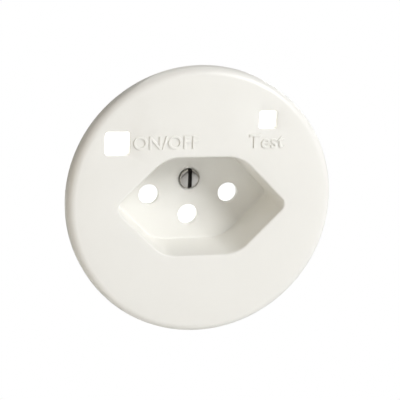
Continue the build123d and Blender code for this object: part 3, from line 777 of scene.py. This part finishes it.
def lathe(mesh, profile, sides=40):
    """Closed solid of revolution about Z from (radius, height) points; the ends lie on the axis."""
    rings = [[mesh.verts.new((r * cos(2 * pi * k / sides), r * sin(2 * pi * k / sides), h))
              for k in range(sides)]
             for r, h in profile]
    wall(mesh, rings)
    mesh.faces.new(rings[0])
    mesh.faces.new(list(reversed(rings[-1])))


HEAD_DOME = ((0.12, 1.0), (0.35, 0.995), (0.55, 0.985), (0.72, 0.965), (0.86, 0.93), (0.95, 0.86),
             (1.0, 0.74),
             (1.0, 0.08))


def screw_shape(head_r, head_t, shank_r, length, sizes, slot_depth=0.8):
    """Slotted screw along Z: head above zero, threaded shank below."""
    crest, root = shank_r, shank_r * 0.86
    dome = [(head_r * s, head_t * h) for s, h in HEAD_DOME]
    profile = dome + [(head_r * 0.96, 0.0), (crest, 0.0)]
    turns = int(length * 0.9 / sizes.pitch)
    for k in range(turns):
        start = -(length * 0.06 + k * sizes.pitch)
        profile += [(crest, start), (root, start - sizes.pitch * 0.5)]
    profile += [(crest * 0.9, -length * 0.985), (crest * 0.6, -length)]
    mesh = bmesh.new()
    lathe(mesh, profile)
    body = finished(mesh, "screw_body", None)
    cutter = bmesh.new()
    bmesh.ops.create_cube(cutter, size=1.0)
    depth = head_t * slot_depth
    bmesh.ops.scale(cutter, vec=(sizes.slot, 3 * head_r, 2 * depth), verts=cutter.verts)
    bmesh.ops.translate(cutter, vec=(0, 0, head_t), verts=cutter.verts)
    blade = finished(cutter, "screw_slot", None)
    cut = body.modifiers.new("Slot", "BOOLEAN")
    cut.operation = "DIFFERENCE"
    cut.object = blade
    soften = body.modifiers.new("Soften", "BEVEL")
    soften.width = 0.05 * MM
    soften.segments = 2
    soften.limit_method = "ANGLE"
    soften.angle_limit = radians(50)
    result = baked(body, "screw_part")
    bpy.data.objects.remove(blade)
    result.data.shade_smooth()
    result.data.set_sharp_from_angle(angle=radians(40))
    # Faces inside the driver slot carry the mask of painted shade.
    painted_slot_shade = result.data.attributes.new(SLOT_SHADE_NAME, "FLOAT", "FACE")
    inside = (abs(face.center.x) < sizes.slot * 0.51 and 0 < face.center.z < head_t * 0.9
              and Vector(face.center.xy).length < head_r * 0.97 for face in result.data.polygons)
    painted_slot_shade.data.foreach_set("value", [float(dark) for dark in inside])
    return result


def screws_on(name, node, part, places, axis, turn, body="housing"):
    """Screws of one CAD node, one at each place."""
    made = run_tree(scatter_tree(), name, {"Part": part, "Axis": axis, "Turn": turn,
                                           "Material": screw_material()}, places)
    piece = baked(made, name)
    bpy.data.objects.remove(part)
    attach(piece, body)
    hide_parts(node)


def island_centres(node):
    """Centre of each separate solid of a CAD node."""
    source = bmesh.new()
    source.from_mesh(frame["nodes"][node].data)
    bmesh.ops.remove_doubles(source, verts=source.verts, dist=0.000005)
    centres, waiting = [], set(source.verts)
    while waiting:
        front = [waiting.pop()]
        island = list(front)
        while front:
            vert = front.pop()
            for edge in vert.link_edges:
                other = edge.other_vert(vert)
                if other in waiting:
                    waiting.remove(other)
                    front.append(other)
                    island.append(other)
        low = Vector(min(v.co[i] for v in island) for i in range(3))
        high = Vector(max(v.co[i] for v in island) for i in range(3))
        centres.append((low, high))
    source.free()
    return sorted(centres, key=lambda pair: (round(pair[0].z, 4), round(pair[0].x, 4)))


def build_screws(sizes):
    """Screws in place of their plain CAD solids."""
    face_down = Matrix.Rotation(pi / 2, 4, "X")
    for name, node, head_t, shank_r, turn in (
            ("centre_screw", "cover_screw", 1.5 * MM, 1.45 * MM, 0.0),
            ("fixing_screws", "plate_screws", 1.3 * MM, 1.38 * MM, sizes.turn)):
        islands = island_centres(node)
        low, high = islands[0]
        part = screw_shape((high.x - low.x) / 2, head_t, shank_r, high.y - low.y - head_t, sizes)
        part.data.transform(face_down)
        heads = [((a.x + b.x) / 2, a.y + head_t, (a.z + b.z) / 2) for a, b in islands]
        screws_on(name, node, part, heads, (0, 1, 0), turn)
    islands = island_centres("housing_screws")
    low, high = islands[0]
    head_t = 1.2 * MM
    part = screw_shape((high.x - low.x) / 2, head_t, 1.18 * MM, high.y - low.y - head_t, sizes, 0.6)
    part.data.transform(Matrix.Rotation(-pi / 2, 4, "X"))
    heads = [((a.x + b.x) / 2, b.y - head_t, (a.z + b.z) / 2) for a, b in islands]
    screws_on("case_screws", "housing_screws", part, heads, (0, 1, 0), sizes.turn)
    islands = island_centres("terminal_screws")
    low, high = islands[0]
    head_t = 1.5 * MM
    part = screw_shape((high.x - low.x) / 2, head_t, 1.13 * MM, high.z - low.z - head_t, sizes, 0.6)
    part.data.transform(Matrix.Rotation(pi, 4, "X"))
    heads = [((a.x + b.x) / 2, (a.y + b.y) / 2, a.z + head_t) for a, b in islands]
    screws_on("clamp_screws", "terminal_screws", part, heads, (0, 0, 1), sizes.turn)


SPRINGS = {
    # node: (body, axis, turns, wire radius in mm, joint that squashes it, travel in mm)
    "shutter_spring": ("housing", "Z", 7, 0.22, "shutter_slide", 5.6),
    "opening_spring": ("housing", "Y", 5, 0.22, "carrier_slide", 2.2),
    "test_spring": ("housing", "Y", 6, 0.20, "test_slide", 1.3),
    "contact_spring_live": ("carrier", "Y", 3, 0.17, None, 0.0),
    "contact_spring_neutral": ("carrier", "Y", 3, 0.17, None, 0.0),
}


def build_spring(node, sizes):
    """Coil in place of a plain CAD spring."""
    body, axis, turns, wire_mm, joint, travel_mm = SPRINGS[node]
    low, high, middle = span(node)
    wire = wire_mm * MM
    width = high.x - low.x
    length = (high.z - low.z if axis == "Z" else high.y - low.y) - 2 * wire
    values = {"Coil radius": width / 2 - wire, "Wire radius": wire, "Length": length, "Turns": float(turns),
              "Steps": sizes.steps, "Sides": sizes.sides, "Material": spring_material()}
    start = (middle.x, middle.y, low.z + wire)
    matrix = Matrix.Translation(start)
    if axis == "Y":
        matrix = along_y(middle.x, low.y + wire, middle.z)
    spring = baked(run_tree(spring_tree(), node + "_coil", values), node + "_coil", matrix)
    spring.data.shade_smooth()
    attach(spring, body)
    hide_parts(node)
    if joint:
        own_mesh(spring)


def spring_material():
    """Bright drawn spring wire."""
    return metal("spring_steel", (0.70, 0.70, 0.69), roughness=0.22, lines=2600.0)


def build_winding(sizes):
    """Turns wound around the core, over the same sector as the CAD winding."""
    core_low, core_high, core_mid = span("transformer_core")
    outer = (core_high.x - core_low.x) / 2
    inner = WINDING_INNER_R
    half_y = (core_high.y - core_low.y) / 2
    gap = sizes.wire
    path = rectangle(((inner + outer) / 2, 0), (outer - inner + 2 * gap, 2 * half_y + 2 * gap), gap, 3)
    mesh = bmesh.new()
    rings = []
    count = len(path)
    for k, (r, y) in enumerate(path):
        ahead = Vector(path[(k + 1) % count]) - Vector(path[k - 1])
        side = Vector((ahead.y, -ahead.x)).normalized()
        loop = []
        for j in range(FINE_WIRE_SIDES):
            a = 2 * pi * j / FINE_WIRE_SIDES
            offset = side * (sizes.wire * 0.95 * cos(a))
            loop.append(mesh.verts.new((r + offset.x, y + offset.y, sizes.wire * 0.95 * sin(a))))
        rings.append(loop)
    wall(mesh, rings + [rings[0]])
    turn = finished(mesh, "winding_turn", None)
    values = {"Turn": turn, "Count": sizes.turns, "First angle": -pi / 2 - WINDING_SWEEP / 2,
              "Step angle": WINDING_SWEEP / (sizes.turns - 1), "Material": copper_material()}
    made = run_tree(winding_tree(), "sense_winding", values)
    winding = baked(made, "sense_winding", Matrix.Translation((core_mid.x, core_mid.y, core_mid.z)))
    bpy.data.objects.remove(turn)
    winding.data.shade_smooth()
    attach(winding, "housing")
    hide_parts("secondary_winding")


# ---------------------------------------------------------------- finishes of the CAD pieces


def finish_of(slot_name):
    """Material for a slot of the record."""
    makers = {
        # This white finish glows with painted light, so its pieces look white even in shade.
        "button_white": lambda: moulded("pure_white_plastic", (0.95, 0.95, 0.95), 0.35, 0.99,
                                        depth=0.08, painted_glow=0.9),
        "housing_grey": lambda: moulded("case_grey_plastic", (0.105, 0.11, 0.12), 0.55, 0.8, 5200.0, 0.6),
        "mechanism_plastic": lambda: moulded("mechanism_black", (0.030, 0.030, 0.034), 0.5, 0.75,
                                             5200.0, 0.5),
        "lever_plastic": lambda: moulded("lever_orange", (0.60, 0.14, 0.03), 0.4, 0.85),
        "zinc_steel": lambda: metal("zinc_plated_sheet", (0.66, 0.68, 0.69), 0.38, lines=700.0),
        "screw_steel": screw_material,
        "brass": lambda: metal("drawn_brass", (0.71, 0.49, 0.19), 0.30, (0.30, 0.19, 0.08)),
        "contact_bronze": lambda: metal("contact_bronze", (0.72, 0.43, 0.24), 0.28, (0.32, 0.18, 0.10)),
        "spring_steel": spring_material,
        "wire_brown": lambda: moulded("insulation_brown", (0.115, 0.042, 0.018), 0.38, 0.85, 3500.0),
        "wire_blue": lambda: moulded("insulation_blue", (0.018, 0.090, 0.36), 0.38, 0.85, 3500.0),
        "thin_wire_black": lambda: moulded("insulation_black", (0.020, 0.020, 0.022), 0.38, 0.85, 3500.0),
        "ferrite": lambda: moulded("coated_core", (0.035, 0.055, 0.085), 0.6, 0.7, 2600.0, 0.8),
        "board_green": circuit_board_material,
        "chip_black": lambda: moulded("chip_epoxy", (0.018, 0.018, 0.020), 0.6, 0.8, 7000.0, 0.6),
        "capacitor_aluminium": lambda: metal("capacitor_can", (0.80, 0.81, 0.83), 0.25, lines=2200.0),
        "resistor_body": lambda: lacquered("resistor_lacquer", (0.52, 0.38, 0.20)),
        "enamelled_copper": copper_material,
    }
    return makers[slot_name]()


def paint_nodes():
    """Give every CAD piece the finish of its slot."""
    cover_slot = "white_thermoplastic"
    ready = {}
    for part in frame["record"]["subparts"]:
        slot_name = part["material_slot"]
        if slot_name not in ready:
            ready[slot_name] = cover_material() if slot_name == cover_slot else finish_of(slot_name)
        data = frame["nodes"][part["node"]].data
        data.materials.clear()
        data.materials.append(ready[slot_name])


SOFTENED = {
    # node: (material slot, rounding in mm)
    "support_plate": ("zinc_steel", 0.18),
    "front_housing": ("housing_grey", 0.25),
    "rear_housing": ("housing_grey", 0.35),
    "circuit_board": ("board_green", 0.10),
    "trip_relay": ("mechanism_plastic", 0.25),
}


def soften_node(node, rounding_mm):
    """Piece with the node's shape and rounded edges, shown in the node's place."""
    source = bmesh.new()
    source.from_mesh(frame["nodes"][node].data)
    bmesh.ops.remove_doubles(source, verts=source.verts, dist=0.000004)
    bmesh.ops.dissolve_limit(source, angle_limit=radians(1.0), verts=source.verts, edges=source.edges)
    body = finished(source, node + "_source", None)
    bevel = body.modifiers.new("Round", "BEVEL")
    bevel.width = rounding_mm * MM
    bevel.segments = 3
    bevel.limit_method = "ANGLE"
    bevel.angle_limit = radians(38)
    bevel.use_clamp_overlap = True
    piece = baked(body, node + "_rounded")
    piece.data.shade_smooth()
    piece.data.set_sharp_from_angle(angle=radians(35))
    piece.data.materials.clear()
    piece.data.materials.append(frame["nodes"][node].data.materials[0])
    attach(piece, "housing")
    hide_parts(node)


# ---------------------------------------------------------------- stage


def plain_material(name, colour, strength):
    """White surface that is bright from its front and clear from behind."""
    material = bpy.data.materials.new(name)
    material.use_nodes = True
    nodes, link = material.node_tree.nodes, material.node_tree.links.new
    nodes.clear()
    bright = nodes.new("ShaderNodeEmission")
    bright.inputs["Color"].default_value = (*colour, 1.0)
    bright.inputs["Strength"].default_value = strength
    clear = nodes.new("ShaderNodeBsdfTransparent")
    side = nodes.new("ShaderNodeNewGeometry")
    seen = nodes.new("ShaderNodeLightPath")
    hidden = nodes.new("ShaderNodeMath")
    hidden.operation = "SUBTRACT"
    mix = nodes.new("ShaderNodeMixShader")
    out = nodes.new("ShaderNodeOutputMaterial")
    link(seen.outputs["Is Camera Ray"], hidden.inputs[0])
    link(side.outputs["Backfacing"], hidden.inputs[1])
    link(hidden.outputs["Value"], mix.inputs["Fac"])
    link(clear.outputs["BSDF"], mix.inputs[1])
    link(bright.outputs["Emission"], mix.inputs[2])
    link(mix.outputs["Shader"], out.inputs["Surface"])
    return material


def build_wall():
    """White wall face with a round hole hidden under the disc's rim."""
    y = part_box("support_plate")[0].y - 0.05 * MM
    hole_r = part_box("front_cover")[1].x - 0.6 * MM
    mesh = bmesh.new()
    far = ring(mesh, circle(0.6, 96), y)
    near = ring(mesh, circle(hole_r, 96), y)
    wall(mesh, [far, near])
    for face in mesh.faces:
        face.normal_update()
        if face.normal.y > 0:
            face.normal_flip()
    data = bpy.data.meshes.new("wall_face")
    mesh.to_mesh(data)
    mesh.free()
    obj = bpy.data.objects.new("wall_face", data)
    data.materials.append(plain_material("white_wall", (1.0, 1.0, 1.0), 1.0))
    bpy.context.scene.collection.objects.link(obj)
    obj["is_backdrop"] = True


def build_floor():
    """Ground plane under the outlet."""
    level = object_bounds()[0][2] - FLOOR_DROP
    data = bpy.data.meshes.new("pale_floor")
    data.from_pydata([(-1, -1, level), (1, -1, level), (1, 1, level), (-1, 1, level)], [], [(0, 1, 2, 3)])
    data.materials.append(moulded("pale_floor_paint", (0.88, 0.88, 0.87), 0.7, 0.97, 400.0, 0.05))
    obj = bpy.data.objects.new("pale_floor", data)
    bpy.context.scene.collection.objects.link(obj)
    obj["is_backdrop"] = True


def area_light(name, place, aim, size, power, colour=(1.0, 1.0, 1.0)):
    """Area light that looks at a point."""
    data = bpy.data.lights.new(name, "AREA")
    data.shape = "DISK"
    data.size = size
    data.energy = power
    data.color = colour
    obj = bpy.data.objects.new(name, data)
    obj.location = place
    obj.rotation_euler = (Vector(aim) - Vector(place)).to_track_quat("-Z", "Y").to_euler()
    bpy.context.scene.collection.objects.link(obj)


def build_world(fill):
    """White backdrop for the camera and an even, weaker fill for the object."""
    world = bpy.data.worlds.new("studio")
    world.use_nodes = True
    nodes, link = world.node_tree.nodes, world.node_tree.links.new
    back = nodes["Background"]
    seen = nodes.new("ShaderNodeLightPath")
    tint = nodes.new("ShaderNodeMix")
    tint.data_type = "RGBA"
    tint.inputs["A"].default_value = (1.0, 0.96, 0.90, 1.0)
    tint.inputs["B"].default_value = (1.0, 1.0, 1.0, 1.0)
    link(seen.outputs["Is Camera Ray"], tint.inputs["Factor"])
    link(tint.outputs["Result"], back.inputs["Color"])
    strength = nodes.new("ShaderNodeMapRange")
    strength.inputs["To Min"].default_value = fill
    strength.inputs["To Max"].default_value = 1.0
    link(seen.outputs["Is Camera Ray"], strength.inputs["Value"])
    link(strength.outputs["Result"], back.inputs["Strength"])
    bpy.context.scene.world = world


def build_camera(stage):
    """Camera in front of the outlet."""
    data = bpy.data.cameras.new("camera")
    data.sensor_width = CAMERA_SENSOR
    data.lens = CAMERA_LENS
    data.shift_x, data.shift_y = CAMERA_SHIFT
    data.clip_start = 0.01
    camera = bpy.data.objects.new("camera", data)
    face_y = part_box("front_cover")[0].y
    aim = Vector((CAMERA_AIM[0], face_y, CAMERA_AIM[1]))
    back = Vector((-sin(stage.azimuth) * cos(stage.elevation), -cos(stage.azimuth) * cos(stage.elevation),
                   sin(stage.elevation)))
    camera.location = aim + back * stage.distance
    turn = (-back).to_track_quat("-Z", "Y").to_matrix() @ Matrix.Rotation(stage.roll, 3, "Z")
    camera.rotation_euler = turn.to_euler()
    bpy.context.scene.collection.objects.link(camera)
    bpy.context.scene.camera = camera


# ---------------------------------------------------------------- operators and panel


class OUTLET_OT_cover(bpy.types.Operator):
    """Build the front cover with its recess, windows and pin holes"""
    bl_idname = "outlet.cover"
    bl_label = "Build cover"

    def execute(self, context):
        build_cover(context.scene.outlet_cover)
        return {"FINISHED"}


class OUTLET_OT_lettering(bpy.types.Operator):
    """Raise the plain switch and test words on the face"""
    bl_idname = "outlet.lettering"
    bl_label = "Build lettering"

    def execute(self, context):
        sizes = context.scene.outlet_lettering
        switch = cap_place("on_off_button")[2]
        test = cap_place("test_button")[2]
        build_words("switch_words", "ON/OFF", (switch[0] + 10.95 * MM, switch[1] + 0.1 * MM),
                    sizes.switch_height, sizes.relief)
        build_words("test_word", "Test", (test[0] - 0.15 * MM, test[1] - 4.85 * MM),
                    sizes.test_height, sizes.relief)
        return {"FINISHED"}


class OUTLET_OT_screws(bpy.types.Operator):
    """Build the slotted screws with their threads"""
    bl_idname = "outlet.screws"
    bl_label = "Build screws"

    def execute(self, context):
        build_screws(context.scene.outlet_screws)
        return {"FINISHED"}


class OUTLET_OT_springs(bpy.types.Operator):
    """Wind the springs of the shutter, the switch and the test button"""
    bl_idname = "outlet.springs"
    bl_label = "Build springs"

    def execute(self, context):
        for node in SPRINGS:
            build_spring(node, context.scene.outlet_springs)
        return {"FINISHED"}


class OUTLET_OT_winding(bpy.types.Operator):
    """Wind the sensing turns around the transformer core"""
    bl_idname = "outlet.winding"
    bl_label = "Build winding"

    def execute(self, context):
        build_winding(context.scene.outlet_winding)
        return {"FINISHED"}


class OUTLET_OT_finishes(bpy.types.Operator):
    """Give every carried-over piece its material"""
    bl_idname = "outlet.finishes"
    bl_label = "Paint pieces"

    def execute(self, context):
        paint_nodes()
        return {"FINISHED"}


class OUTLET_OT_rounding(bpy.types.Operator):
    """Round the edges of the plate, the housings and the board"""
    bl_idname = "outlet.rounding"
    bl_label = "Round edges"

    def execute(self, context):
        for node, (slot_name, rounding_mm) in SOFTENED.items():
            soften_node(node, rounding_mm)
        return {"FINISHED"}


class OUTLET_OT_stage(bpy.types.Operator):
    """Set up the wall, floor, light and camera"""
    bl_idname = "outlet.stage"
    bl_label = "Build stage"

    def execute(self, context):
        stage = context.scene.outlet_stage
        context.scene.view_settings.view_transform = "Standard"
        build_wall()
        build_floor()
        build_world(stage.fill)
        area_light("key_upper_right", (0.34, -0.40, 0.30), (0, 0, 0), 0.24, stage.key, (0.97, 0.98, 1.0))
        area_light("left_fill", (-0.55, -0.22, 0.05), (0, 0, 0), 0.35, stage.key * 0.12, (1.0, 0.80, 0.52))
        area_light("soft_front", (-0.25, -0.75, 0.30), (0, 0, 0), 0.5, stage.key * 0.2)
        area_light("rear_fill", (-0.4, 0.6, 0.5), (0, 0.02, 0), 0.4, stage.key * 1.2)
        build_camera(stage)
        return {"FINISHED"}


class OUTLET_PT_tools(bpy.types.Panel):
    """Lists the outlet's steps in the 3D view's sidebar"""
    bl_idname = "OUTLET_PT_tools"
    bl_label = "Socket outlet"
    bl_space_type = "VIEW_3D"
    bl_region_type = "UI"
    bl_category = "Outlet"

    def draw(self, context):
        for step in STEPS:
            self.layout.operator(step.bl_idname)
        for holder in GROUPS:
            group = getattr(context.scene, holder)
            for key in group.bl_rna.properties.keys():
                if key not in {"rna_type", "name"}:
                    self.layout.prop(group, key)


STEPS = (OUTLET_OT_finishes, OUTLET_OT_cover, OUTLET_OT_lettering, OUTLET_OT_screws, OUTLET_OT_springs,
         OUTLET_OT_winding, OUTLET_OT_rounding, OUTLET_OT_stage)
GROUPS = {"outlet_cover": CoverSizes, "outlet_lettering": LetteringSizes, "outlet_screws": ScrewSizes,
          "outlet_springs": SpringSizes, "outlet_winding": WindingSizes, "outlet_stage": StageSizes}


def register():
    """Register every class and its settings."""
    for cls in (*GROUPS.values(), *STEPS, OUTLET_PT_tools):
        bpy.utils.register_class(cls)
    for holder, cls in GROUPS.items():
        setattr(bpy.types.Scene, holder, bpy.props.PointerProperty(type=cls))


def unregister():
    """Remove every class and its settings."""
    for holder in GROUPS:
        delattr(bpy.types.Scene, holder)
    for cls in reversed((*GROUPS.values(), *STEPS, OUTLET_PT_tools)):
        bpy.utils.unregister_class(cls)


def main():
    """Build the whole outlet."""
    register()
    bpy.ops.outlet.finishes()
    bpy.ops.outlet.cover()
    bpy.ops.outlet.lettering()
    bpy.ops.outlet.screws()
    bpy.ops.outlet.springs()
    bpy.ops.outlet.winding()
    bpy.ops.outlet.rounding()
    bpy.ops.outlet.stage()


if __name__ == "__main__":
    main()
